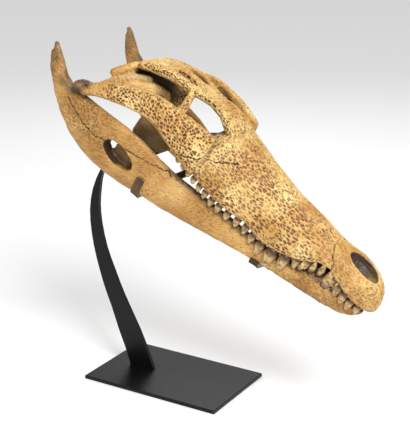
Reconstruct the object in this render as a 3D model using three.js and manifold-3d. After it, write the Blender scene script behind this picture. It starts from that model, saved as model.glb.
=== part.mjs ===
// Crocodile skull, cranium and lower jaw, held nose-down on a bent bar over a thin base plate.
// Millimetres, +Z up, +X toward the nose. The base plate's underside is z = 0.
import * as THREE from 'three';
import { mergeVertices } from 'three/addons/utils/BufferGeometryUtils.js';
import Module from 'manifold-3d';

const wasm = await Module();
wasm.setup();
const { Manifold, Mesh: SolidMesh } = wasm;

// ---- pose of the skull over the base ----
const noseDownDegrees = 31.7; // pitch of the skull
const skullOrigin = [-48, 0, 372.7]; // rear midline of the skull table at tooth-row height

// ---- stand sizes ----
const baseLength = 200;
const baseWidth = 127;
const baseThickness = 5;
const baseEdgeBevel = 0.6;
const barThickness = 5.4;
const stripThickness = 2.6;

// ---- general sizes ----
const pieceGap = 0.35; // clear gap between neighbouring pieces
const toothSides = 6;
const fineness = 0.14; // facets smaller than this are merged
const twinShift = 0.01; // corners that share a spot are set this far apart
const cheekSeam = 104; // x of the seam between the cheek bar and the snout

// ---- materials ----
const boneFinish = { color: 0xd9b878, roughness: 0.55, metalness: 0 };
const steelFinish = { color: 0x1d1d1f, roughness: 0.38, metalness: 0.6 };
const clipFinish = { color: 0x4a4038, roughness: 0.45, metalness: 0.6 };

// ================= geometry helpers =================

// Three.js geometry to a solid; turned right way out when its faces point inward.
function solid(geometry) {
  const bare = geometry.clone();
  bare.deleteAttribute('normal');
  bare.deleteAttribute('uv');
  const welded = mergeVertices(bare, 1e-4);
  const triVerts = Uint32Array.from(welded.index.array);
  const vertProperties = Float32Array.from(welded.attributes.position.array);
  return new Manifold(new SolidMesh({ numProp: 3, vertProperties, triVerts }));
}

// Smooth curve through rows of three numbers.
function through(rows) {
  return new THREE.CatmullRomCurve3(rows.map((row) => new THREE.Vector3(...row)), false, 'catmullrom', 0.5);
}

// Push of the first and last ring outward by the margin.
function endShift(along, margin) {
  if (along < 1e-6) return -margin;
  return along > 1 - 1e-6 ? margin : 0;
}

// Signed power of a section coordinate: rounds a circle toward a box as the power grows.
function squared(value, power) {
  return Math.sign(value) * Math.pow(Math.abs(value), 2 / power);
}

// Bone drawn between a low edge and a high edge, each a smooth line, with a half thickness along it.
// A margin swells it on every side, for cutting a neighbour clear of it.
function blade({ low, high, half, sides = 10, power = 2.4 }, margin = 0) {
  const lowLine = through(low);
  const highLine = through(high);
  const halfLine = through(half.map((value) => [value, 0, 0]));
  const rings = low.length - 1;
  const tube = new THREE.CylinderGeometry(1, 1, 1, sides, rings);
  const spot = tube.attributes.position;
  for (let index = 0; index < spot.count; index += 1) {
    const along = spot.getY(index) + 0.5;
    const bottom = lowLine.getPoint(along);
    const top = highLine.getPoint(along);
    const middle = bottom.clone().add(top).multiplyScalar(0.5);
    const rise = top.clone().sub(bottom).multiplyScalar(0.5);
    const forward = lowLine.getTangent(along).add(highLine.getTangent(along)).normalize();
    middle.addScaledVector(forward, endShift(along, margin));
    rise.setLength(rise.length() + margin);
    const sideways = forward.cross(rise).normalize().multiplyScalar(halfLine.getPoint(along).x + margin);
    middle.addScaledVector(sideways, squared(spot.getX(index), power));
    middle.addScaledVector(rise, squared(spot.getZ(index), power));
    spot.setXYZ(index, middle.x, middle.y, middle.z);
  }
  return solid(tube);
}

// Loft along X: rows of x, half width, top z, waist z, bottom z; domed above the waist, flat below it.
function loft({ rows, sides = 20, domePower = 2.1, domeGrowth = () => 0, floorPower = 5 }, margin = 0) {
  const plan = through(rows.map(([x, halfWidth, top]) => [x, halfWidth, top]));
  const levels = through(rows.map(([x, , , waist, bottom]) => [x, waist, bottom]));
  const tube = new THREE.CylinderGeometry(1, 1, 1, sides, rows.length - 1);
  const spot = tube.attributes.position;
  for (let index = 0; index < spot.count; index += 1) {
    const along = spot.getY(index) + 0.5;
    const wide = plan.getPoint(along);
    const level = levels.getPoint(along);
    const up = spot.getZ(index) > 0;
    const power = up ? domePower + domeGrowth(wide.x) : floorPower;
    const reach = (up ? wide.z - level.y : level.y - level.z) + margin;
    const x = wide.x + endShift(along, margin);
    const y = -(wide.y + margin) * squared(spot.getX(index), power);
    spot.setXYZ(index, x, y, level.y + reach * squared(spot.getZ(index), power));
  }
  return solid(tube);
}

// Ellipsoid turned about the Y axis and then the Z axis, in degrees.
function ellipsoid({ at, radii, tilt = 0, turn = 0, sides = 14, rings = 8 }, margin = 0) {
  const ball = new THREE.SphereGeometry(1, sides, rings);
  ball.scale(...radii.map((radius) => radius + margin));
  ball.rotateY(THREE.MathUtils.degToRad(tilt));
  ball.rotateZ(THREE.MathUtils.degToRad(turn));
  ball.translate(...at);
  return solid(ball);
}

// Box from its low corner to its high corner.
function box(low, high) {
  const size = high.map((value, axis) => value - low[axis]);
  const block = new THREE.BoxGeometry(...size);
  block.translate(...high.map((value, axis) => (value + low[axis]) / 2));
  return solid(block);
}

// Conical tooth, curved a little, from its root to its tip.
function tooth({ root, tip, radius, bow = 0 }) {
  const start = new THREE.Vector3(...root);
  const end = new THREE.Vector3(...tip);
  const middle = start.clone().lerp(end, 0.5);
  middle.x -= bow;
  const line = new THREE.CatmullRomCurve3([start, middle, end]);
  const cone = new THREE.CylinderGeometry(0.12, 1, 1, toothSides, 3);
  const spot = cone.attributes.position;
  const aside = new THREE.Vector3(1, 0, 0);
  const across = new THREE.Vector3().crossVectors(end.clone().sub(start).normalize(), aside).normalize();
  for (let index = 0; index < spot.count; index += 1) {
    const along = spot.getY(index) + 0.5;
    const swell = 1 + 0.25 * Math.sin(Math.PI * along);
    const place = line.getPoint(along);
    place.addScaledVector(aside, spot.getX(index) * radius * swell);
    place.addScaledVector(across, spot.getZ(index) * radius * swell);
    spot.setXYZ(index, place.x, place.y, place.z);
  }
  return solid(cone);
}

function join(solids) {
  return Manifold.union(solids);
}

// The same piece on the animal's right side (-Y).
function mirrored(piece) {
  return piece.mirror([0, 1, 0]);
}

// What is left of a piece beside its neighbours, each given already swollen by the gap.
function clearOf(piece, ...neighbours) {
  return largest(neighbours.reduce((left, neighbour) => left.subtract(neighbour), piece));
}

// Largest connected body of a solid.
function largest(piece) {
  const bodies = piece.decompose();
  return bodies.reduce((best, body) => (body.volume() > best.volume() ? body : best));
}

// Set corners that share a spot a hair apart, so that each edge joins just two faces.
function partTwins(positions) {
  const seen = new Set();
  for (let start = 0; start < positions.length; start += 3) {
    while (seen.has(positions.slice(start, start + 3).join())) {
      positions[start + 2] += twinShift;
    }
    seen.add(positions.slice(start, start + 3).join());
  }
}

function toMesh(name, piece, finish) {
  const shape = largest(piece.simplify(fineness)).getMesh();
  const geometry = new THREE.BufferGeometry();
  const positions = new Float32Array(shape.numVert * 3);
  for (let vertex = 0; vertex < shape.numVert; vertex += 1) {
    for (let axis = 0; axis < 3; axis += 1) {
      positions[vertex * 3 + axis] = shape.vertProperties[vertex * shape.numProp + axis];
    }
  }
  partTwins(positions);
  geometry.setAttribute('position', new THREE.BufferAttribute(positions, 3));
  geometry.setIndex(Array.from(shape.triVerts));
  geometry.computeVertexNormals();
  const mesh = new THREE.Mesh(geometry, new THREE.MeshStandardMaterial(finish));
  mesh.name = name;
  return mesh;
}

// ================= cranium (x forward, y out to the animal's left, z up from the tooth row) =================

// snout: x, half width, top, waist, tooth-row edge
const snoutRows = [
  [94, 40, 15, 8, 4],
  [108, 51, 27, 8, 3],
  [122, 58.5, 49, 8, 1],
  [137, 58.5, 63, 5, -2],
  [150, 57, 60, 2, -7],
  [168, 54, 55, 0, -12],
  [190, 49.5, 49.5, -4, -14.5],
  [215, 45, 44.5, -3, -12.5],
  [238, 42.5, 40, -8, -21],
  [258, 43.5, 37.5, -7, -18],
  [278, 42.5, 35, -3, -12.5],
  [296, 37, 32.5, 2, -6],
  [312, 30.5, 30.5, 12, 3],
  [326, 27.5, 29, 12, 5],
  [340, 30.5, 27.5, 8, 0],
  [355, 31.5, 25.5, 5, -5],
  [370, 27, 22.5, 1, -10.5],
  [382, 20, 17.5, -2, -13.5],
  [390, 12.5, 10.5, -5, -14],
  [394.5, 4, -1, -7, -12.5],
];

// recess of the palate between the tooth rows: x, half width, roof, waist, floor
const palateRows = [
  [120, 46, 6, -2, -40],
  [165, 43, -5, -12, -45],
  [215, 34, -6, -16, -45],
  [258, 32, -10, -22, -45],
  [296, 26, 0, -10, -45],
  [326, 17, 10, 2, -40],
  [355, 19, 2, -5, -40],
  [370, 13, -2, -8, -40],
];

function makeMuzzle(margin = 0) {
  const domeGrowth = (x) => 1.85 * THREE.MathUtils.smoothstep(x, 312, 345);
  return loft({ rows: snoutRows, sides: 20, domePower: 2.15, domeGrowth }, margin);
}

function makeSnout() {
  const palate = loft({ rows: palateRows, sides: 12 });
  const nostril = ellipsoid({ at: [354.5, 0, 25], radii: [23, 16, 15], tilt: 8 });
  return makeMuzzle().subtract(palate).subtract(nostril);
}

// roof plate from the rear of the table to the snout: x, half width, top, edge, underside of the edge
const roofRows = [
  [-9, 31, 61, 56, 50],
  [-3, 41, 67, 60, 51],
  [14, 40, 74, 68, 57],
  [36, 37, 79, 75, 63],
  [55, 35, 80, 76, 65],
  [68, 34, 78, 75, 65],
  [79, 25, 77, 76, 66],
  [94, 20.5, 76, 75.5, 66],
  [112, 20.5, 73, 72, 61],
  [128, 24, 68, 66, 50],
  [142, 27, 61.5, 56, 38],
];

// opening in the table behind each orbit
const templeHole = { x: 51, y: 15, halfLength: 16, halfWidth: 7.5, depth: 26 };

// the table leans toward the animal's left: drop for each mm from the right edge, fading out forward
const leftWingDrop = 9;
const tableLean = { slope: 0.13, rightEdge: 36, fadeStart: 78, fadeEnd: 130 };

function makeRoof(margin = 0) {
  let plate = loft({ rows: roofRows, sides: 16, domePower: 3, floorPower: 4 }, margin);
  for (const side of [1, -1]) {
    const { x, y, halfLength, halfWidth, depth } = templeHole;
    const hole = { at: [x, side * y, 84], radii: [halfLength, halfWidth, depth], turn: side * -8 };
    plate = plate.subtract(ellipsoid(hole, -margin));
  }
  plate = plate.warp((vertex) => {
    const fade = THREE.MathUtils.smoothstep(tableLean.fadeEnd - vertex[0], 0, tableLean.fadeEnd - tableLean.fadeStart);
    vertex[2] -= tableLean.slope * fade * (vertex[1] + tableLean.rightEdge);
  });
  const braincase = blade({
    low: [[-14, 0, 14], [0, 0, 8], [24, 0, 4], [46, 0, 6], [62, 0, 12]],
    high: [[-9, 0, 52], [0, 0, 55], [24, 0, 60], [46, 0, 62], [62, 0, 62]],
    half: [13, 17, 15, 11, 8],
    sides: 12,
    power: 3,
  }, margin);
  const occipitalKnob = ellipsoid({ at: [-17, 0, 30], radii: [9, 11, 8] }, margin);
  return join([plate, braincase, occipitalKnob]);
}

// back of the skull on one side: wing bone, joint bone with its knuckle, and the web between them; the wing
// hangs lower by the drop at its outer end
function makeJawJoint(wingDrop, margin = 0) {
  const hang = ([x, y, z]) => [x, y, z - wingDrop * y / 60];
  const wing = blade({
    low: [[-4, 8, 32], [-8, 26, 34], [-12, 44, 34], [-17, 56, 33], [-22, 61, 35]].map(hang),
    high: [[-2, 8, 60], [-4, 28, 62], [-9, 44, 58], [-17, 53, 50], [-24, 59, 41]].map(hang),
    half: [6, 6, 6, 6, 3.5],
    power: 2.2,
  }, margin);
  const shaft = blade({
    low: [[44, 12, 28], [24, 34, 30], [4, 54, 22], [-16, 70, 8], [-33, 80, 0], [-40, 81, 3]],
    high: [[40, 14, 46], [22, 32, 50], [2, 50, 44], [-15, 66, 28], [-30, 76, 18], [-39, 80, 14]],
    half: [6, 7, 8, 10, 13, 11],
    sides: 12,
    power: 2.3,
  }, margin);
  const web = blade({
    low: [[-33, 74, 10], [-15, 62, 20], [4, 48, 30], [24, 32, 38]],
    high: [[-24, 66, 24], [-15, 60, 37], [-4, 44, 48], [14, 26, 54]],
    half: [4, 5, 5, 5],
    sides: 8,
  }, margin);
  const knuckle = ellipsoid({ at: [-38, 79, 9], radii: [8, 15, 8], turn: 12 }, margin);
  return join([wing, shaft, web, knuckle]);
}

// bar from the jaw joint forward under the orbit to the snout
function makeCheekBar(margin = 0) {
  return blade({
    low: [
      [-36, 87, 5], [-20, 85, 10], [4, 83, 19], [30, 81, 27], [50, 78.5, 31], [66, 76, 29],
      [84, 73.5, 22], [100, 70, 15], [116, 65.5, 7], [132, 60, 0],
    ],
    high: [
      [-34, 81, 15], [-16, 74, 31], [6, 71, 43], [32, 68.5, 53], [52, 66, 60], [68, 63.5, 61],
      [86, 61.5, 61], [102, 58.5, 61], [118, 54.5, 58], [134, 50, 57],
    ],
    half: [5, 6.5, 6.5, 6.5, 6.5, 7, 7.5, 8, 8.5, 7],
    sides: 12,
    power: 2.6,
  }, margin);
}

// strut behind the orbit, from the cheek bar up to the corner of the table
function makeStrut() {
  return blade({
    low: [[73, 60, 52], [74, 51, 60], [71, 41, 68], [67, 31, 72]],
    high: [[86, 62, 52], [86, 53, 61], [81, 43, 69], [76, 33, 73]],
    half: [6, 4.6, 4.6, 5],
    sides: 8,
  });
}

// plate of the palate, its wing beside the lower jaw and the bridge toward the cheek
function makePalate() {
  const plate = loft({
    rows: [[20, 12, 10, 6, 1], [40, 20, 10, 6, 1], [70, 26, 10, 6, 1], [100, 30, 10, 6, 0], [128, 36, 9, 4, -3]],
    sides: 12,
    domePower: 3,
  });
  const wing = blade({
    low: [[22, 6, 2], [24, 26, 0], [29, 42, -14], [42, 50, -27], [56, 52, -33]],
    high: [[90, 6, 8], [92, 24, 8], [92, 40, 5], [86, 50, -3], [76, 53, -17]],
    half: [4, 4, 4, 4, 3],
    sides: 10,
    power: 3,
  });
  const bridge = blade({
    low: [[84, 26, -1], [92, 44, 2], [100, 58, 8]],
    high: [[106, 26, 9], [112, 44, 12], [118, 56, 14]],
    half: [4, 4.5, 5],
    sides: 8,
  });
  const oneSide = join([wing, bridge]);
  return join([plate, oneSide, mirrored(oneSide)]);
}

// ================= teeth =================

// upper row: x, length, root radius; each points down and a little out
const upperTeeth = [
  [110, 5.5, 3.4], [119, 6, 3.5], [128, 7, 3.6], [137, 8, 3.6], [147, 9, 3.8], [157, 9.5, 3.9],
  [168, 10, 4], [179, 11, 4.1], [192, 11, 4.2], [206, 12, 4.2], [219, 13, 4.2], [231, 14, 4.4],
  [245, 19, 5.4], [261, 27, 7.2], [278, 22, 5.8], [291, 13, 4.2], [302, 11, 3.8],
  [338, 12, 3.6], [348, 15, 4.6], [358, 15, 4.6], [368, 14, 4.2], [378, 12, 3.6],
];

// lower row where it shows outside the closed mouth: x, tip height above the root, root radius
const lowerTeeth = [[297, 12, 3], [308, 14, 3.4], [318, 16, 3.6], [331, 27, 6], [343, 10, 3.4]];

function valueAt(rows, x, column) {
  const next = Math.max(1, rows.findIndex((row) => row[0] > x));
  const before = rows[next - 1];
  const after = rows[next];
  const share = (x - before[0]) / (after[0] - before[0]);
  return before[column] + share * (after[column] - before[column]);
}

// half width of the upper jaw and its tooth-row edge, along the cheek and the snout
const edgeRows = [[96, 69, 0, 0, 14], [116, 64.5, 0, 0, 5], [132, 60, 0, 0, -1], ...snoutRows.slice(4)];

function makeUpperTeeth() {
  return upperTeeth.map(([x, length, radius]) => {
    const y = valueAt(edgeRows, x, 1) - 0.8 * radius - 2.2;
    const z = valueAt(edgeRows, x, 4);
    return tooth({ root: [x, y, z + 4], tip: [x + 0.5, y + 0.1 * length, z - length], radius, bow: 1 });
  });
}

// ================= lower jaw =================

// half of the lower jaw: low edge, high edge and half thickness, from its rear spur to the chin
const jawLow = [
  [-97, 78, 20], [-88, 78.5, 2], [-65, 78, -25], [-47, 76.5, -42], [-26, 74.5, -57],
  [-3, 72.5, -66], [17, 71, -70], [38, 69, -71], [62.6, 66, -70], [90.8, 61.2, -66.5],
  [118, 55.2, -65.8], [152, 45.9, -63.2], [186, 39.3, -58.9], [227, 34, -51.4], [269, 27.8, -46.6],
  [310, 20, -43.3], [337, 14.5, -40.8], [362, 10.3, -36.9], [375, 7, -30.6], [383, 4.5, -22.4],
];
const jawHigh = [
  [-96.5, 78, 22], [-80, 79, 12], [-62.3, 79, 5.5], [-45.7, 78, -0.6], [-28, 76, 0.2],
  [-6, 74, 0], [14, 72, 0], [34, 70, 0.4], [58, 67, -1.5], [90, 62, -8.5],
  [118, 53, -15.5], [152, 42, -20], [186, 34.5, -22.5], [227, 29, -25.5], [266, 24, -26],
  [306, 20, -13], [336, 15, -9], [362, 10.5, -13], [376, 7, -16], [384, 4.5, -17],
];
const jawHalf = [3.5, 6.5, 8.5, 9.5, 9, 9, 8.8, 8.6, 8.5, 8.5, 8.5, 8.5, 8.5, 9, 9.5, 12, 15, 13, 10, 6];

// the hole in the side of the lower jaw
const jawWindow = { at: [44, 74, -35.5], radii: [24, 30, 12.5], tilt: 14 };

// The main blade of the jaw, swollen by a margin when something has to fit round it.
function makeRamus(margin = 0) {
  return blade({
    low: jawLow.map(([x, y, z]) => [x, y, z - margin]),
    high: jawHigh.map(([x, y, z]) => [x, y, z + margin]),
    half: jawHalf.map((value) => value + margin),
    sides: 12,
    power: 2.7,
  });
}

function makeLowerJaw() {
  const jointShelf = blade({
    low: [[-66, 82, -12], [-58, 66, -12], [-54, 56, -8]],
    high: [[-30, 82, -10], [-32, 66, -10], [-38, 56, -6]],
    half: [9, 8, 4],
    sides: 8,
  });
  const spur = blade({
    low: [[-76, 79, -6], [-89, 78, 12], [-96.5, 77, 24], [-99.5, 76, 30.5]],
    high: [[-62, 76, 4], [-77, 76, 18], [-89, 76, 27.5], [-95, 75.5, 32]],
    half: [7, 5.5, 4.5, 2.5],
    sides: 8,
  });
  const innerWall = blade({
    low: [[27, 64, -62], [44, 62, -62], [60, 60, -62]],
    high: [[33, 62, -12], [46, 60, -12], [58, 58, -12]],
    half: [1.8, 1.8, 1.8],
    sides: 8,
    power: 5,
  });
  const opened = join([makeRamus(), jointShelf, spur]).subtract(ellipsoid(jawWindow));
  const middle = box([-200, pieceGap / 2, -120], [420, 200, 120]);
  return join([opened, innerWall, ...makeLowerTeeth()]).intersect(middle);
}

function makeLowerTeeth() {
  return lowerTeeth.map(([x, length, radius]) => {
    const y = Math.max(valueAt(edgeRows, x, 1) - 2.5, 22);
    const root = valueAt(edgeRows, x, 4) - 0.7 * length;
    return tooth({ root: [x, y - 4, root - 5], tip: [x + 1, y, root + length], radius, bow: -1 });
  });
}

// ================= stand =================

// bent bar in the plane y = 0, as x and z of its outline: up the rear edge, along the arm under the
// skull, and back down the front edge
const barRear = [
  [-68.6, 5.35], [-75.2, 25], [-85.8, 50.8], [-98.1, 84.8], [-108.7, 111], [-120.6, 150.1], [-127.1, 183.3],
  [-128.8, 215.3], [-122.8, 246.3], [-108.7, 275.1], [-94, 292], [-76, 300], [-58.7, 298.2],
];
const armTip = [[145.5, 187.4], [141.3, 180.6]];
const barFront = [
  [-55, 285.3], [-74, 287], [-92, 281], [-106, 270.6], [-111.5, 248], [-114.1, 224.2], [-112.3, 198.7],
  [-105, 166], [-92.7, 135.6], [-78.5, 103.8], [-53.6, 57.9], [-38, 23], [-30.8, 5.35],
];

function smoothEdge(rows) {
  return through(rows.map(([x, z]) => [x, z, 0])).getPoints(rows.length * 2 - 2);
}

function makeBar() {
  const edge = [...smoothEdge(barRear), ...armTip.map(([x, z]) => ({ x, y: z })), ...smoothEdge(barFront)];
  const outline = new THREE.Shape(edge.map((point) => new THREE.Vector2(point.x, point.y)));
  const bar = new THREE.ExtrudeGeometry(outline, { depth: barThickness, bevelEnabled: false });
  bar.translate(0, 0, -barThickness / 2);
  bar.rotateX(Math.PI / 2);
  return solid(bar);
}

// Hook of flat strip round the low edge of the jaw, with its strip to the bar (in the skull's frame).
function makeClip({ from, to, outerTop, innerTop, thickness, armLow, hookLow }) {
  const shell = makeRamus(thickness + pieceGap).subtract(makeRamus(pieceGap));
  const middle = valueAt(jawLow, (from + to) / 2, 1);
  const outerLeg = box([from, middle, -100], [to, 100, outerTop]);
  const innerLeg = box([from, 10, -100], [to, middle + 0.01, innerTop]);
  const hook = shell.intersect(join([outerLeg, innerLeg]));
  const barSide = barThickness / 2 + pieceGap;
  const barEndOfStrip = box([from, barSide, armLow], [to, barSide + stripThickness, armLow + stripThickness]);
  const hookEnd = box([from, middle - 4, hookLow], [to, middle + 1, hookLow + stripThickness]);
  const strip = Manifold.hull([barEndOfStrip, hookEnd]);
  return largest(join([hook, strip.subtract(makeRamus(pieceGap))]));
}

function makeBase() {
  const outline = new THREE.Shape();
  const halfLength = baseLength / 2 - baseEdgeBevel;
  const halfWidth = baseWidth / 2 - baseEdgeBevel;
  outline.moveTo(-halfLength, -halfWidth);
  outline.lineTo(halfLength, -halfWidth);
  outline.lineTo(halfLength, halfWidth);
  outline.lineTo(-halfLength, halfWidth);
  outline.closePath();
  const plate = new THREE.ExtrudeGeometry(outline, {
    depth: baseThickness - 2 * baseEdgeBevel,
    bevelThickness: baseEdgeBevel,
    bevelSize: baseEdgeBevel,
    bevelSegments: 1,
  });
  plate.translate(0, 0, baseEdgeBevel);
  return solid(plate);
}

// ================= assembly =================

const parts = new THREE.Group();
parts.name = 'crocodile_skull';

const pose = new THREE.Matrix4().makeRotationY(THREE.MathUtils.degToRad(noseDownDegrees));
pose.setPosition(...skullOrigin);

function posed(piece) {
  return piece.transform(pose.elements);
}

const sides = [['left', (piece) => piece, leftWingDrop], ['right', mirrored, 0]];
const cheekBar = makeCheekBar();
const behindSeam = box([-200, -200, -200], [cheekSeam - pieceGap / 2, 200, 200]);
const aheadOfSeam = box([cheekSeam + pieceGap / 2, -200, -200], [400, 200, 200]);
const barEnd = cheekBar.intersect(aheadOfSeam);
const roof = makeRoof();
const roofSwollen = makeRoof(pieceGap);
const snoutBlock = clearOf(join([makeSnout(), barEnd, mirrored(barEnd)]), roofSwollen);
const upperTeethLeft = makeUpperTeeth();
const snout = join([snoutBlock, ...upperTeethLeft, ...upperTeethLeft.map(mirrored)]);
const cheekBlank = cheekBar.intersect(behindSeam);
const strutBlank = makeStrut();
const jawBlank = makeLowerJaw();
const aroundPalate = [makeMuzzle(pieceGap), roofSwollen];
const bySide = sides.map(([name, flip, wingDrop]) => {
  const jointSwollen = flip(makeJawJoint(wingDrop, pieceGap));
  const joint = clearOf(flip(makeJawJoint(wingDrop)), roofSwollen);
  const strut = clearOf(flip(strutBlank), roofSwollen);
  const cheek = clearOf(join([flip(cheekBlank), strut]), jointSwollen);
  aroundPalate.push(jointSwollen, flip(makeCheekBar(pieceGap)));
  return { name, flip, joint, cheek, jaw: clearOf(flip(jawBlank), jointSwollen) };
});
const palate = clearOf(makePalate(), ...aroundPalate);
const rearClip = makeClip({
  from: 79.5, to: 89.5, outerTop: -42, innerTop: -46, thickness: 2.4, armLow: -71, hookLow: -71.5,
});
const frontClip = makeClip({
  from: 244, to: 256, outerTop: -43, innerTop: -38, thickness: 4, armLow: -62, hookLow: -54.5,
});

parts.add(toMesh('snout', posed(snout), boneFinish));
parts.add(toMesh('skull_roof', posed(roof), boneFinish));
parts.add(toMesh('palate', posed(palate), boneFinish));
for (const { name, flip, joint, cheek, jaw } of bySide) {
  parts.add(toMesh(`jaw_joint_${name}`, posed(joint), boneFinish));
  parts.add(toMesh(`cheek_${name}`, posed(cheek), boneFinish));
  parts.add(toMesh(`lower_jaw_${name}`, posed(jaw), boneFinish));
  parts.add(toMesh(`stand_clip_rear_${name}`, posed(flip(rearClip)), clipFinish));
  parts.add(toMesh(`stand_clip_front_${name}`, posed(flip(frontClip)), clipFinish));
}
parts.add(toMesh('stand_base', makeBase(), steelFinish));
parts.add(toMesh('stand_bar', makeBar(), steelFinish));

export default parts;
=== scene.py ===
import math
from types import SimpleNamespace

import bpy
import numpy as np
import openvdb
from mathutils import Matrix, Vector


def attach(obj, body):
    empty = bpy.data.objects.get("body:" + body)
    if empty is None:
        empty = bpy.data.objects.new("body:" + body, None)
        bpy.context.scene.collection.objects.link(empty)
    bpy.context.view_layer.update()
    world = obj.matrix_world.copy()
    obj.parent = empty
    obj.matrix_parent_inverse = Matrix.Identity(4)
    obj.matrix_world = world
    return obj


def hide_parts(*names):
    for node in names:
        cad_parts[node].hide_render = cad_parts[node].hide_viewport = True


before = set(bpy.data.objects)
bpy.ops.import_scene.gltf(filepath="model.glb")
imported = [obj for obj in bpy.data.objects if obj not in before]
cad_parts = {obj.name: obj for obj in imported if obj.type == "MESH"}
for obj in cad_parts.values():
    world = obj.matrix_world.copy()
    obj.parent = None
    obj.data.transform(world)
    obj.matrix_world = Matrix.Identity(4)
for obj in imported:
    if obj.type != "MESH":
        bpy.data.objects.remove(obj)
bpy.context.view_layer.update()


# the skull's own frame: x to the nose, y to the animal's left, z up from the tooth row, millimetres
pose = {
    "noseDown": 31.7,  # degrees
    "origin": (-0.048, 0.0, 0.3727),  # metres, where that frame starts in the model's
}
pitch = math.radians(pose["noseDown"])
turn = np.array([[math.cos(pitch), 0, math.sin(pitch)], [0, 1, 0], [-math.sin(pitch), 0, math.cos(pitch)]])
origin = np.array(pose["origin"])
boneNodes = [
    "snout", "skull_roof", "palate", "jaw_joint_left", "jaw_joint_right",
    "cheek_left", "cheek_right", "lower_jaw_left", "lower_jaw_right",
]
sculpt = {
    "voxel": 1.0,  # mm, size of the mesh's quads
    "reach": 5,  # voxels of distance kept each side of the surface
    "spare": 6,  # voxels of empty space around the skull
    "relaxRounds": 34,  # smoothing of the whole skull before it is parted
    "seam": 0.06,  # mm, half of the gap between neighbouring bones
    "seamWander": 2.6,  # mm, how far the seams stray to and fro
    "seamWave": 5.0,  # mm, length of one bend of a seam
    "proud": 0.15,  # mm, the most that the relief may stand out
}
farAway = 99.0  # a distance larger than any that counts


def toSkull(points):
    return (points - origin) @ turn * 1000


def toWorld(points):
    return points @ turn.T / 1000 + origin


def nodeShape(name):
    source = bpy.data.objects[name]
    mesh = source.data
    mesh.calc_loop_triangles()
    points = np.empty(len(mesh.vertices) * 3, np.float64)
    mesh.vertices.foreach_get("co", points)
    triangles = np.empty(len(mesh.loop_triangles) * 3, np.int32)
    mesh.loop_triangles.foreach_get("vertices", triangles)
    matrix = np.array(source.matrix_world)
    return points.reshape(-1, 3) @ matrix[:3, :3].T + matrix[:3, 3], triangles.reshape(-1, 3)


# noise on arrays of points: the same spot and salt always give the same value
cellPrimes = (73856093, 19349663, 83492791)
saltPrime = 2654435761
mixPrime = 1274126177
keyBits = 0xFFFFFFFF
shareBits = 0xFFFFFF
salts = {
    "roundPit": 10, "longPit": 20, "patch": 31, "pore": 33, "porePlace": 36, "fibre": 41,
    "mottle": 52, "bend": 60, "crack": 70, "golden": 80, "paler": 81, "seam": 90,
}


def hashed(cell, salt):
    key = salt * saltPrime
    for axis, prime in enumerate(cellPrimes):
        key = key ^ (cell[:, axis] * prime)
    key = (key & keyBits).astype(np.uint32)
    key ^= key >> np.uint32(13)
    key *= np.uint32(mixPrime)
    key ^= key >> np.uint32(16)
    return (key & np.uint32(shareBits)) / (shareBits + 1.0)


# smooth blobs of the given size, from 0 to 1
def softNoise(points, size, salt):
    scaled = points / np.asarray(size, float)
    cell = np.floor(scaled).astype(np.int64)
    part = scaled - cell
    part = part * part * (3 - 2 * part)
    total = np.zeros(len(points))
    for corner in np.ndindex(2, 2, 2):
        weight = np.prod(np.where(corner, part, 1 - part), axis=1)
        total += weight * hashed(cell + np.array(corner), salt)
    return total


# distances to the nearest and the second nearest of scattered centres, in cells
def cellNoise(points, size, salt):
    scaled = points / np.asarray(size, float)
    cell = np.floor(scaled).astype(np.int64)
    nearest = np.full(len(points), farAway)
    second = np.full(len(points), farAway)
    for offset in np.ndindex(3, 3, 3):
        spot = cell + np.array(offset) - 1
        centre = spot + np.stack([hashed(spot, salt + k) for k in (1, 2, 3)], 1) * 0.9
        away = np.linalg.norm(centre - scaled, axis=1)
        second = np.minimum(second, np.maximum(away, nearest))
        nearest = np.minimum(nearest, away)
    return nearest, second


# smooth step from 0 at the start to 1 at the end
def ramp(value, start, end):
    share = np.clip((value - start) / (end - start), 0, 1)
    return share * share * (3 - 2 * share)


# 1 from low to high, fading over the soft distance on each side of both
def between(value, low, high, soft):
    return ramp(value, low - soft, low + soft) * (1 - ramp(value, high - soft, high + soft))


def soften(volume, rounds):
    for _ in range(rounds):
        for axis in range(3):
            before = np.roll(volume, 1, axis)
            after = np.roll(volume, -1, axis)
            volume = 0.5 * volume + 0.25 * (before + after)
    return volume


shapes = {name: nodeShape(name) for name in boneNodes}
shapes = {name: (toSkull(points), triangles) for name, (points, triangles) in shapes.items()}
everyPoint = np.concatenate([points for points, triangles in shapes.values()])
lowCorner = np.floor(everyPoint.min(0) / sculpt["voxel"]).astype(int) - sculpt["spare"]
highCorner = np.ceil(everyPoint.max(0) / sculpt["voxel"]).astype(int) + sculpt["spare"] + 1
gridShape = tuple(highCorner - lowCorner)


def signedDistance(points, triangles=None, quads=None):
    grid = openvdb.FloatGrid.createLevelSetFromPolygons(
        points.astype(np.float32),
        triangles=None if triangles is None else triangles.astype(np.uint32),
        quads=None if quads is None else quads.astype(np.uint32),
        transform=openvdb.createLinearTransform(voxelSize=sculpt["voxel"]),
        halfWidth=sculpt["reach"],
    )
    volume = np.empty(gridShape, np.float32)
    grid.copyToArray(volume, ijk=tuple(int(v) for v in lowCorner))
    return volume


# quads of the zero surface of a distance volume, facing out
def surfaceOf(volume, corner):
    grid = openvdb.FloatGrid(sculpt["reach"] * sculpt["voxel"])
    grid.copyFromArray(np.ascontiguousarray(volume, dtype=np.float32), ijk=tuple(int(v) for v in corner))
    grid.transform = openvdb.createLinearTransform(voxelSize=sculpt["voxel"])
    points, quads = grid.convertToQuads()
    points = points.astype(np.float64)
    quads = quads.astype(np.int64)
    a, b, c, d = (points[quads[:, k]] for k in range(4))
    if np.einsum("ij,ij->i", a + b + c + d, np.cross(c - a, d - b)).sum() < 0:
        quads = quads[:, ::-1]
    return points, quads


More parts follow.
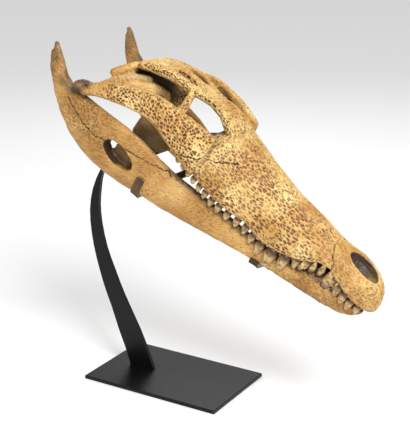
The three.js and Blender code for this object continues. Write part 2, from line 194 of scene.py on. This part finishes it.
def edgesOf(quads):
    pairs = np.concatenate([quads[:, [k, (k + 1) % 4]] for k in range(4)])
    pairs.sort(axis=1)
    size = pairs.max() + 1
    code = np.unique(pairs[:, 0] * size + pairs[:, 1])
    return code // size, code % size


# evens a mesh out: each round draws points together, then pushes them back, so nothing shrinks
def relax(points, quads, rounds):
    first, second = edgesOf(quads)
    size = len(points)
    count = np.maximum(np.bincount(first, minlength=size) + np.bincount(second, minlength=size), 1)
    for _ in range(rounds):
        for weight in (0.5, -0.52):
            total = np.stack([
                np.bincount(first, points[second, k], size) + np.bincount(second, points[first, k], size)
                for k in range(3)
            ], 1)
            points = points + weight * (total / count[:, None] - points)
    return points


print("bones: distances")
distances = {name: signedDistance(*shape).astype(np.float16) for name, shape in shapes.items()}
nearest = np.full(gridShape, farAway, np.float32)
second = np.full(gridShape, farAway, np.float32)
for volume in distances.values():
    second = np.minimum(second, np.maximum(volume, nearest))
    nearest = np.minimum(nearest, volume)

print("bones: smoothing the whole skull")
wholePoints, wholeQuads = surfaceOf(soften(nearest, 2), lowCorner)
wholePoints = relax(wholePoints, wholeQuads, sculpt["relaxRounds"])
whole = signedDistance(wholePoints, quads=wholeQuads)

# how open each spot is to the light, from samples of the space around the skull
sampling = {
    "step": 3,  # voxels between the samples
    "margin": 15,  # samples of empty space on each side, which is also how far each look goes
}
step = sampling["step"]
bonePlaces = np.pad(whole[::step, ::step, ::step] < 0, sampling["margin"])


# share of the 26 ways out that meet no bone
def opennessField():
    total = np.zeros(bonePlaces.shape, np.float32)
    ways = [np.array(way) - 1 for way in np.ndindex(3, 3, 3) if way != (1, 1, 1)]
    for way in ways:
        blocked = np.zeros(bonePlaces.shape, bool)
        for reach in range(1, sampling["margin"]):
            blocked |= np.roll(bonePlaces, tuple(-reach * way), (0, 1, 2))
        total += ~blocked
    return soften(total / len(ways), 1)


openness = opennessField()


def opennessAt(points):
    index = np.round((points / sculpt["voxel"] - lowCorner) / step).astype(int) + sampling["margin"]
    index = np.clip(index, 0, np.array(openness.shape) - 1)
    return openness[index[:, 0], index[:, 1], index[:, 2]]


def wholeNormals(points):
    place = points / sculpt["voxel"] - lowCorner
    cell = np.clip(np.floor(place).astype(int), 0, np.array(whole.shape) - 3)
    part = place - cell
    slopes = np.zeros((len(points), 3))
    for corner in np.ndindex(2, 2, 2):
        weight = np.prod(np.where(corner, part, 1 - part), axis=1)
        spot = cell + np.array(corner)
        for axis in range(3):
            before = spot.copy()
            before[:, axis] -= 1
            after = spot.copy()
            after[:, axis] += 1
            slopes[:, axis] += weight * (whole[tuple(after.T)] - whole[tuple(before.T)])
    return slopes / np.maximum(np.linalg.norm(slopes, axis=1), 1e-6)[:, None]


# the snout's tooth edge: x, half width and height
rowX = [96, 116, 132, 150, 168, 190, 215, 238, 258, 278, 296, 312, 326, 340, 355, 370, 382, 390]
rowWidth = [69, 64.5, 60, 57, 54, 49.5, 45, 42.5, 43.5, 42.5, 37, 30.5, 27.5, 30.5, 31.5, 27, 20, 12.5]
rowEdge = [14, 5, -1, -7, -12, -14.5, -12.5, -21, -18, -12.5, -6, 3, 5, 0, -5, -10.5, -13.5, -14]

# cracks and sutures as x and z on each side: bone, least distance from the middle, line
cracks = [
    ("lower_jaw", 40, [(-46, -13), (-30, -22), (-16, -27), (-4, -31), (6, -33), (23, -30)]),
    ("lower_jaw", 40, [(44, -23), (61, -21), (81, -18), (96, -16), (106, -14), (113, -18)]),
    ("lower_jaw", 40, [(84, -4), (94, -7), (104, -11)]),
    ("snout", 30, [(105, 15), (119, 21), (133, 27), (149, 31), (168, 42)]),
    ("snout", 12, [(308, 33), (314, 28), (319, 24), (326, 17), (327, 8)]),
    ("snout", 4, [(322, 34), (328, 33), (336, 31)]),
]
hollows = {
    "nostril": ((354.5, 0, 25), (23, 16, 15)),  # middle and radii, mm
    "jawWindow": ((44, -35.5), (24, 12.5)),  # the same in x and z
    "tipHole": (388, 8, 3),  # place of the small hole on each side of the tip
}
surface = {
    "deepPit": 2.3,  # mm, depth of the round pits on cheek and table
    "finePit": 1.5,  # mm, depth of the long pits on the snout
    "pore": 0.8,  # mm, depth of the scattered pores
    "grain": 1.1,  # mm, height of the fibres on the smooth bones
    "crack": 1.3,  # mm, depth of the cracks
    "tipHole": 2.5,  # mm, depth of the holes in the tip
    "roundPitSize": (4.6, 3.7, 3.9),  # mm along x, y and z
    "longPitSize": (6.8, 3.1, 3.3),
    "poreSpacing": (6.5, 4, 4),
    "fibreSize": (15, 1.4, 1.4),
    "bendSize": 13,  # mm, size of the waves that pits and fibres follow
    "bendReach": 4,  # mm, how far they stray with them
    "lightAt": 3.5,  # mm off the surface, where the light is read
}


# 1 on the wall of a round hollow, less inside it
def hollowShare(points, hollow):
    middle, radii = hollow
    return np.linalg.norm((points - middle) / radii, axis=1)


def lineDistance(flat, line):
    best = np.full(len(flat), farAway)
    for start, end in zip(line[:-1], line[1:]):
        start = np.array(start, float)
        along = np.array(end, float) - start
        share = np.clip(((flat - start) @ along) / (along @ along), 0, 1)
        best = np.minimum(best, np.linalg.norm(flat - start - share[:, None] * along, axis=1))
    return best


def describe(name, points, normals):
    x, y, z = points.T
    bend = [softNoise(points, surface["bendSize"], salts["bend"] + k) for k in range(3)]
    return SimpleNamespace(
        name=name,
        jaw=name.startswith("lower_jaw"),
        points=points,
        bent=points + np.stack(bend, 1) * surface["bendReach"],
        x=x,
        z=z,
        side=np.abs(y),  # distance from the middle
        aboveTeeth=z - np.interp(x, rowX, rowEdge),
        out=np.sign(y) * normals[:, 1],  # how far the face looks away from the middle
        up=normals[:, 2],
        forward=normals[:, 0],
        light=opennessAt(points + normals * surface["lightAt"]),
    )


# how much of the round pits and of the long pits each spot takes
def pitShares(spot, outside):
    if spot.jaw:
        flank = ramp(spot.out, 0.2, 0.6)
        deep = flank * between(spot.x, -52, 32, 16) * ramp(spot.z, -58, -34) * 0.5
        return deep, flank * ramp(spot.x, 225, 320) * 0.55
    if spot.name == "palate" or spot.name.startswith("jaw_joint"):
        return np.zeros(len(spot.x)), np.zeros(len(spot.x))
    ahead = ramp(spot.x, 112, 175)
    deep = outside * (1 - ahead) * (1 - between(spot.x, -60, -12, 10) * 0.7)
    fine = outside * ahead * (1 - 0.3 * ramp(spot.x, 300, 335))
    fine = fine * ramp(hollowShare(spot.points, hollows["nostril"]), 1.06, 1.25)
    return deep, fine * ramp(spot.aboveTeeth, 0.5, 4)


def poresOn(spot, bare):
    away = cellNoise(spot.points, surface["poreSpacing"], salts["pore"])[0]
    here = softNoise(spot.points, 16, salts["porePlace"]) > 0.42
    return (1 - ramp(away, 0.12, 0.26)) * here * bare * ramp(spot.light, 0.2, 0.4)


def cracksOn(spot):
    crack = np.zeros(len(spot.x))
    stray = np.stack([softNoise(spot.points, 4, salts["crack"] + k) for k in range(2)], 1) - 0.5
    flat = spot.points[:, [0, 2]] + stray * 3
    seen = ramp(spot.out + spot.up, 0.1, 0.4)
    for bone, middle, line in cracks:
        if spot.name.startswith(bone):
            close = 1 - ramp(lineDistance(flat, line), 0.2, 1.0)
            crack = np.maximum(crack, close * (spot.side > middle) * seen)
    return crack


# the line down the middle of the snout's tip, and the small hole on each side of it
def tipMarks(spot):
    line = (1 - ramp(spot.side, 0.1, 0.9)) * between(spot.x, 378, 394, 2)
    line = line * ramp(spot.up + spot.forward, 0.1, 0.4)
    x, side, z = hollows["tipHole"]
    away = np.stack([spot.x - x, spot.side - side, 0.8 * (spot.z - z)], 1)
    return line, 1 - ramp(np.linalg.norm(away, axis=1), 2, 3.6)


# darker marks on the lower jaw: a mottled stain at the back end, and painted shade on the top under the snout
# and inside the jaw window
def jawStainsAndShade(spot):
    tip = 0.8 * (1 - ramp(spot.x - 0.25 * spot.z, -96, -62))
    tip = tip + 0.8 * ramp(spot.z, -16, 0) * (1 - ramp(np.abs(spot.x + 50), 10, 26))
    # painted shadow: the jaw's top, where the snout and the upper teeth overhang it
    rim = ramp(spot.up, 0.2, 0.7) * ramp(spot.x, 96, 120)
    window = hollowShare(spot.points[:, [0, 2]], hollows["jawWindow"])
    return [
        tip * (0.5 + 0.7 * softNoise(spot.points, 7, salts["mottle"])),
        0.75 * rim,
        # painted shade on the walls inside the jaw window
        (1 - ramp(window, 1.0, 1.12)) * (1 - ramp(spot.out, 0.3, 0.8)),
    ]


# darker marks on the cranium: a mottled stain at the back end, a darker tooth row edge and palate, and
# painted shade inside the nostril
def craniumStainsAndShade(spot):
    knuckle = 1 - ramp(spot.x + 0.1 * spot.side, -24, -10)
    sockets = (1 - ramp(spot.aboveTeeth, 0.0, 3.5)) * ramp(spot.x, 98, 106)
    stainsAndShade = [knuckle * (0.55 + 0.6 * softNoise(spot.points, 6, salts["mottle"])), 0.8 * sockets]
    if spot.name == "palate":
        stainsAndShade.append(np.full(len(spot.x), 0.8))
    if spot.name == "snout":
        # painted shade inside the nostril
        stainsAndShade.append(1 - ramp(hollowShare(spot.points, hollows["nostril"]), 0.98, 1.1))
    return stainsAndShade


# depth of the relief in mm, and the shares of pit brown with painted shade, stain with painted shade, golden
# bone and crack
def dress(name, points, normals):
    spot = describe(name, points, normals)
    roundNear, roundNext = cellNoise(spot.bent, surface["roundPitSize"], salts["roundPit"])
    longNear, longNext = cellNoise(spot.bent, surface["longPitSize"], salts["longPit"])
    roundPit = ramp(roundNext - roundNear, 0.05, 0.36)
    longPit = ramp(longNext - longNear, 0.03, 0.36)
    patch = 0.6 + 0.75 * softNoise(points, 19, salts["patch"])
    outside = ramp(spot.up + 0.75 * spot.out, 0.0, 0.45) * ramp(spot.light, 0.2, 0.4)
    deep, fine = pitShares(spot, outside)
    # the brown of the pits is partly painted shade in them
    pitBrownAndShade = np.clip((roundPit * deep + longPit * fine * 0.85) * patch, 0, 1)
    depth = (surface["deepPit"] * roundPit * deep + surface["finePit"] * longPit * fine) * patch
    bare = np.clip(1 - deep - fine, 0, 1)
    fibre = softNoise(spot.bent, surface["fibreSize"], salts["fibre"]) - 0.5
    depth = depth - surface["grain"] * fibre * (0.3 + bare)
    pore = poresOn(spot, bare)
    # pores take the same brown, partly painted shade
    pitBrownAndShade = np.maximum(pitBrownAndShade, pore * 0.9)
    depth = depth + surface["pore"] * pore
    crack = cracksOn(spot)
    if name == "snout":
        line, hole = tipMarks(spot)
        # the crack colour also fills the tip holes, as painted shade in them
        crack = np.maximum.reduce([crack, line, hole])
        depth = depth + surface["tipHole"] * hole
    depth = depth + surface["crack"] * crack
    # painted shade: bone darkened with the stain colour where little of the space around it is open to the
    # light
    shade = 1 - ramp(spot.light, 0.16, 0.56)
    stainAndShade = np.maximum.reduce([shade] + (jawStainsAndShade(spot) if spot.jaw else craniumStainsAndShade(spot)))
    golden = np.full(len(points), 0.9) if spot.jaw else 1 - outside * ramp(spot.x, -40, 0)
    golden = golden * (0.55 + 0.6 * softNoise(points, 26, salts["golden"]))
    golden = golden + 0.3 * softNoise(points, 33, salts["paler"]) - 0.1
    return depth, np.clip(np.stack([pitBrownAndShade, stainAndShade, golden, crack], 1), 0, 1)


def addTints(mesh, tints):
    layer = mesh.color_attributes.new("boneTint", "FLOAT_COLOR", "POINT")
    layer.data.foreach_set("color", tints.astype(np.float32).ravel())


def makeMesh(name, points, faces):
    mesh = bpy.data.meshes.new(name)
    sides = faces.shape[1]
    mesh.vertices.add(len(points))
    mesh.vertices.foreach_set("co", points.astype(np.float32).ravel())
    mesh.loops.add(faces.size)
    mesh.loops.foreach_set("vertex_index", faces.astype(np.int32).ravel())
    mesh.polygons.add(len(faces))
    mesh.polygons.foreach_set("loop_start", np.arange(0, faces.size, sides, dtype=np.int32))
    mesh.update(calc_edges=True)
    mesh.validate()
    mesh.shade_smooth()
    return mesh


def makePiece(name, mesh, material):
    piece = bpy.data.objects.new(name, mesh)
    bpy.context.scene.collection.objects.link(piece)
    piece.data.materials.append(material)
    return piece


# colours from 0 to 255, as a screen shows them
def linear(colour):
    return tuple(((c / 255 + 0.055) / 1.055) ** 2.4 for c in colour) + (1.0,)


def newMaterial(name):
    material = bpy.data.materials.new(name)
    material.use_nodes = True
    tree = material.node_tree
    return material, tree, tree.nodes["Principled BSDF"]


def fill(tree, socket, value):
    if isinstance(value, bpy.types.NodeSocket):
        tree.links.new(value, socket)
    else:
        socket.default_value = value


def addNode(tree, kind, settings=None, **inputs):
    node = tree.nodes.new(kind)
    for key, value in (settings or {}).items():
        setattr(node, key, value)
    for key, value in inputs.items():
        fill(tree, node.inputs[key], value)
    return node


def noise(tree, place, scale, detail):
    return addNode(tree, "ShaderNodeTexNoise", Vector=place, Scale=scale, Detail=detail).outputs["Fac"]


def mixColour(tree, share, first, second):
    node = addNode(tree, "ShaderNodeMix", {"data_type": "RGBA"})
    for index, value in ((0, share), (6, first), (7, second)):
        fill(tree, node.inputs[index], value)
    return node.outputs[2]


def spread(tree, value, fromLow, fromHigh, toLow=0.0, toHigh=1.0):
    node = addNode(tree, "ShaderNodeMapRange", {"clamp": True}, Value=value)
    for index, number in enumerate((fromLow, fromHigh, toLow, toHigh), start=1):
        node.inputs[index].default_value = number
    return node.outputs[0]


boneLook = {
    "ridge": (236, 204, 134),  # crests between the pits
    "body": (196, 148, 76),  # general bone
    "ochre": (158, 108, 40),  # golden patches
    "pitBrownAndShade": (104, 62, 22),  # floor of the pits: brown, and the painted shade in them
    "stainAndShade": (30, 17, 8),  # old dark stain, also the painted shade in hollows, openings and under overhangs
    "jaw": (98, 60, 22),  # lower jaw and back of the skull
    # near black of the cracks and sutures, also painted shade in the small holes at the tip
    "crack": (14, 7, 3),
}


def makeBoneMaterial():
    material, tree, shader = newMaterial("bone")
    tint = addNode(tree, "ShaderNodeAttribute", {"attribute_name": "boneTint"})
    parts = addNode(tree, "ShaderNodeSeparateColor", Color=tint.outputs["Color"])
    pitBrownAndShade, stainAndShade, golden = parts.outputs[:3]
    place = addNode(tree, "ShaderNodeTexCoord").outputs["Object"]
    broad = noise(tree, place, 22.0, 4.0)
    fine = noise(tree, place, 420.0, 5.0)
    stretch = addNode(tree, "ShaderNodeMapping", Vector=place, Rotation=(0, pitch, 0), Scale=(60, 700, 700))
    fibre = noise(tree, stretch.outputs[0], 1.0, 4.0)
    look = {key: linear(value) for key, value in boneLook.items()}
    colour = mixColour(tree, spread(tree, broad, 0.35, 0.62), look["ridge"], look["body"])
    jawColour = mixColour(tree, spread(tree, broad, 0.4, 0.68), look["body"], look["ochre"])
    jawColour = mixColour(tree, spread(tree, fibre, 0.42, 0.7, 0.0, 0.75), jawColour, look["jaw"])
    colour = mixColour(tree, golden, colour, jawColour)
    colour = mixColour(tree, spread(tree, fine, 0.5, 0.75, 0.0, 0.35), colour, look["ochre"])
    # brown in the pits and pores, partly painted shade
    colour = mixColour(tree, spread(tree, pitBrownAndShade, 0.1, 0.85, 0.0, 0.95), colour, look["pitBrownAndShade"])
    # stain and painted shade, both in the dark stain colour
    colour = mixColour(tree, spread(tree, stainAndShade, 0.1, 1.0, 0.0, 0.92), colour, look["stainAndShade"])
    colour = mixColour(tree, spread(tree, tint.outputs["Alpha"], 0.2, 0.8), colour, look["crack"])
    tree.links.new(colour, shader.inputs["Base Color"])
    tree.links.new(spread(tree, fine, 0.3, 0.7, 0.36, 0.6), shader.inputs["Roughness"])
    bump = addNode(tree, "ShaderNodeBump", Strength=0.35, Distance=0.0006, Height=fibre)
    bump = addNode(tree, "ShaderNodeBump", Strength=0.3, Distance=0.0004, Height=fine, Normal=bump.outputs[0])
    tree.links.new(bump.outputs[0], shader.inputs["Normal"])
    return material


toothLook = {
    "pale": (214, 180, 122),
    "streak": (96, 64, 32),
    "root": (66, 42, 22),
}


def makeToothMaterial():
    material, tree, shader = newMaterial("enamel")
    tint = addNode(tree, "ShaderNodeAttribute", {"attribute_name": "boneTint"})
    parts = addNode(tree, "ShaderNodeSeparateColor", Color=tint.outputs["Color"])
    place = addNode(tree, "ShaderNodeTexCoord").outputs["Object"]
    streak = noise(tree, place, 260.0, 5.0)
    look = {key: linear(value) for key, value in toothLook.items()}
    colour = mixColour(tree, spread(tree, streak, 0.35, 0.7), look["pale"], look["streak"])
    colour = mixColour(tree, parts.outputs[0], look["root"], colour)
    tree.links.new(colour, shader.inputs["Base Color"])
    tree.links.new(spread(tree, streak, 0.3, 0.7, 0.22, 0.42), shader.inputs["Roughness"])
    bump = addNode(tree, "ShaderNodeBump", Strength=0.25, Distance=0.0004, Height=streak)
    tree.links.new(bump.outputs[0], shader.inputs["Normal"])
    return material


steelLooks = {
    "blackSteel": {"paint": (9, 8, 9), "worn": (18, 17, 18), "roughness": 0.3, "metallic": 0.0},
    "clipSteel": {"paint": (66, 50, 36), "worn": (110, 86, 60), "roughness": 0.4, "metallic": 0.2},
}


def makeSteelMaterial(name):
    look = steelLooks[name]
    material, tree, shader = newMaterial(name)
    place = addNode(tree, "ShaderNodeTexCoord").outputs["Object"]
    grit = noise(tree, place, 900.0, 3.0)
    cloud = noise(tree, place, 14.0, 4.0)
    base = mixColour(tree, spread(tree, cloud, 0.4, 0.7), linear(look["paint"]), linear(look["worn"]))
    tree.links.new(base, shader.inputs["Base Color"])
    rough = spread(tree, grit, 0.3, 0.7, look["roughness"] - 0.06, look["roughness"] + 0.08)
    tree.links.new(rough, shader.inputs["Roughness"])
    shader.inputs["Metallic"].default_value = look["metallic"]
    shader.inputs["Specular IOR Level"].default_value = 0.2
    bump = addNode(tree, "ShaderNodeBump", Strength=0.2, Distance=0.0002, Height=grit)
    tree.links.new(bump.outputs[0], shader.inputs["Normal"])
    return material


boneMaterial = makeBoneMaterial()
toothMaterial = makeToothMaterial()
steels = {name: makeSteelMaterial(name) for name in steelLooks}


# the part of the whole skull's distance volume that belongs to one bone, and its lowest cell
def boneVolume(name):
    own = distances[name].astype(np.float32)
    other = np.where(own <= nearest + 0.01, second, nearest)
    inside = np.argwhere(own < 3)
    lowCell = np.maximum(inside.min(0) - 3, 0)
    window = tuple(slice(low, high) for low, high in zip(lowCell, inside.max(0) + 4))
    gap = own[window] - other[window]
    cells = np.indices(gap.shape).reshape(3, -1).T + lowCell + lowCorner
    wander = softNoise(cells, sculpt["seamWave"], salts["seam"]).reshape(gap.shape) - 0.5
    gap = gap + wander * sculpt["seamWander"] * np.exp(-np.abs(gap) / 3)
    part = np.maximum(whole[window], gap / 2 + sculpt["seam"])
    return np.clip(part, -sculpt["reach"], sculpt["reach"]), lowCell


for name in boneNodes:
    print("bone:", name)
    part, lowCell = boneVolume(name)
    points, quads = surfaceOf(part, lowCell + lowCorner)
    points = relax(points, quads, 2)
    normals = wholeNormals(points)
    depth, tints = dress(name, points, normals)
    points = points - normals * np.maximum(depth, -sculpt["proud"])[:, None]
    boneMesh = makeMesh(name + ".bone", toWorld(points), quads)
    addTints(boneMesh, tints)
    piece = makePiece(name + ".bone", boneMesh, boneMaterial)
    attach(piece, "root")
    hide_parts(name)

# teeth, as x, length and root radius along each row, millimetres
upperTeeth = [
    (110, 5.5, 3.4), (119, 6, 3.5), (128, 7, 3.6), (137, 8, 3.6), (147, 9, 3.8), (157, 9.5, 3.9),
    (168, 10, 4), (179, 11, 4.1), (192, 11, 4.2), (206, 12, 4.2), (219, 13, 4.2), (231, 14, 4.4),
    (245, 19, 5.4), (261, 27, 7.2), (278, 22, 5.8), (291, 13, 4.2), (302, 11, 3.8),
    (338, 12, 3.6), (348, 15, 4.6), (358, 15, 4.6), (368, 14, 4.2), (378, 12, 3.6),
]
lowerTeeth = [(297, 12, 3), (308, 14, 3.4), (318, 16, 3.6), (331, 27, 6), (343, 10, 3.4)]
toothShape = {
    "sides": 12,
    "rings": 9,
    "swell": 0.22,  # share by which the crown bulges
    "bluntness": 1.7,  # power of the taper to the tip
    "tipRadius": 0.25,  # mm
    "flutes": 6,
    "fluteDepth": 0.035,  # share of the radius
    "stainEnd": (0.12, 0.45),  # shares of the length where the root's stain fades
}


def toothPoints(root, tip, radius, bow):
    root = np.array(root, float)
    tip = np.array(tip, float)
    axis = (tip - root) / np.linalg.norm(tip - root)
    aside = np.array([1.0, 0, 0])
    across = np.cross(axis, aside)
    across = across / np.linalg.norm(across)
    points = []
    for ring in range(toothShape["rings"]):
        share = ring / (toothShape["rings"] - 1)
        bulge = math.sin(math.pi * share)
        middle = root + (tip - root) * share - aside * bow * bulge
        taper = math.sqrt(max(1 - share ** toothShape["bluntness"], 0.0))
        wide = radius * (1 + toothShape["swell"] * bulge) * taper + toothShape["tipRadius"]
        for side in range(toothShape["sides"]):
            angle = 2 * math.pi * side / toothShape["sides"]
            flute = 1 + toothShape["fluteDepth"] * math.cos(toothShape["flutes"] * angle)
            points.append(middle + wide * flute * (math.cos(angle) * aside + math.sin(angle) * across))
    return np.array(points + [root, tip])


def toothFaces():
    sides = toothShape["sides"]
    last = (toothShape["rings"] - 1) * sides
    root = last + sides
    faces = []
    for start in range(0, last, sides):
        for side in range(sides):
            a = start + side
            b = start + (side + 1) % sides
            faces.append((a, b, b + sides, a + sides))
    faces += [(root, (side + 1) % sides, side) for side in range(sides)]
    faces += [(root + 1, last + side, last + (side + 1) % sides) for side in range(sides)]
    return faces


def makeTooth(name, root, tip, radius, bow):
    mesh = bpy.data.meshes.new(name)
    points = toWorld(toothPoints(root, tip, radius, bow))
    mesh.from_pydata([tuple(point) for point in points], [], toothFaces())
    mesh.validate()
    mesh.update()
    mesh.shade_smooth()
    levels = np.repeat(np.arange(toothShape["rings"]), toothShape["sides"]) / (toothShape["rings"] - 1)
    shares = np.append(levels, [0, 1])
    addTints(mesh, np.stack([ramp(shares, *toothShape["stainEnd"])] * 3 + [0 * shares], 1))
    tooth = makePiece(name, mesh, toothMaterial)
    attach(tooth, "root")


print("teeth")
for side, label in ((1, "left"), (-1, "right")):
    for index, (x, length, radius) in enumerate(upperTeeth, start=1):
        y = np.interp(x, rowX, rowWidth) - 0.8 * radius - 2.2
        z = np.interp(x, rowX, rowEdge)
        ends = (x, side * y, z + 3), (x + 0.5, side * (y + 0.1 * length), z - length)
        makeTooth(f"upper_tooth_{label}_{index}", *ends, radius, 1)
    for index, (x, length, radius) in enumerate(lowerTeeth, start=1):
        y = max(np.interp(x, rowX, rowWidth) - 2.5, 22)
        z = np.interp(x, rowX, rowEdge) - 0.7 * length
        ends = (x, side * (y - 4), z - 5), (x + 1, side * y, z + length)
        makeTooth(f"lower_tooth_{label}_{index}", *ends, radius, -1)

# stand: material, slot and width of the rounded edges in metres
standPieces = {
    "stand_base": ("blackSteel", "stand_steel", 0.0004),
    "stand_bar": ("blackSteel", "stand_steel", 0.0007),
    "stand_clip_rear_left": ("clipSteel", "stand_clips", 0.0003),
    "stand_clip_rear_right": ("clipSteel", "stand_clips", 0.0003),
    "stand_clip_front_left": ("clipSteel", "stand_clips", 0.0003),
    "stand_clip_front_right": ("clipSteel", "stand_clips", 0.0003),
}
sharpAngle = math.radians(35)
bevelAngle = math.radians(40)


# a node's mesh with its corners joined and the triangles that close up left out
def weldedMesh(name):
    points, triangles = nodeShape(name)
    corners, index = np.unique(np.round(points, 6), axis=0, return_inverse=True)
    a, b, c = index.reshape(-1)[triangles].T
    keep = (a != b) & (b != c) & (a != c)
    return makeMesh(name + ".steel", corners, np.stack([a, b, c], 1)[keep])


print("stand")
for name, (steel, slotName, bevelWidth) in standPieces.items():
    steelMesh = weldedMesh(name)
    steelMesh.set_sharp_from_angle(angle=sharpAngle)
    piece = makePiece(name + ".steel", steelMesh, steels[steel])
    bevel = piece.modifiers.new("edges", "BEVEL")
    bevel.width = bevelWidth
    bevel.segments = 2
    bevel.limit_method = "ANGLE"
    bevel.angle_limit = bevelAngle
    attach(piece, "root")
    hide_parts(name)

studio = {
    "floorSize": 16,
    "floorColour": (0.97, 0.97, 0.97, 1.0),
    "floorRoughness": 0.7,
    "skyStrength": 0.66,
    "aim": (0.06, 0, 0.28),
    "lights": {  # watts, size and place
        "key": (42.0, 0.9, (1.3, -0.9, 1.7)),
        "fill": (1.5, 1.6, (-1.3, -1.5, 1.0)),
        "rim": (5.0, 0.8, (-0.6, 1.3, 1.3)),
    },
}


def makeFloor():
    bpy.ops.mesh.primitive_plane_add(size=studio["floorSize"], location=(0, 0, 0))
    floor = bpy.context.active_object
    floor.name = "floor"
    material, tree, shader = newMaterial("floor")
    shader.inputs["Base Color"].default_value = studio["floorColour"]
    shader.inputs["Roughness"].default_value = studio["floorRoughness"]
    floor.data.materials.append(material)


def addLight(name, power, size, place):
    data = bpy.data.lights.new(name, "AREA")
    data.energy = power
    data.size = size
    light = bpy.data.objects.new(name, data)
    light.location = place
    light.rotation_euler = (Vector(studio["aim"]) - Vector(place)).to_track_quat("-Z", "Y").to_euler()
    bpy.context.scene.collection.objects.link(light)


def addSky():
    world = bpy.data.worlds.new("studio")
    world.use_nodes = True
    background = world.node_tree.nodes["Background"]
    background.inputs["Color"].default_value = (1, 1, 1, 1)
    background.inputs["Strength"].default_value = studio["skyStrength"]
    bpy.context.scene.world = world


view = {
    "azimuth": 30.978,  # degrees
    "elevation": 17.684,
    "place": (0.72533, -1.12687, 0.64835),
    "lens": 90,  # mm, on a sensor of 36 mm
    "sensor": 36,
    "clipEnd": 60,
}


def addCamera():
    azimuth = math.radians(view["azimuth"])
    elevation = math.radians(view["elevation"])
    level = math.cos(elevation)
    look = Vector((-math.sin(azimuth) * level, math.cos(azimuth) * level, -math.sin(elevation)))
    data = bpy.data.cameras.new("camera")
    data.lens = view["lens"]
    data.sensor_width = view["sensor"]
    data.clip_end = view["clipEnd"]
    camera = bpy.data.objects.new("camera", data)
    camera.location = view["place"]
    camera.rotation_euler = look.to_track_quat("-Z", "Y").to_euler()
    bpy.context.scene.collection.objects.link(camera)
    bpy.context.scene.camera = camera


print("floor, light and camera")
makeFloor()
for name, light in studio["lights"].items():
    addLight(name, *light)
addSky()
addCamera()
bpy.context.scene.view_settings.view_transform = "Standard"  # colours show as they are written
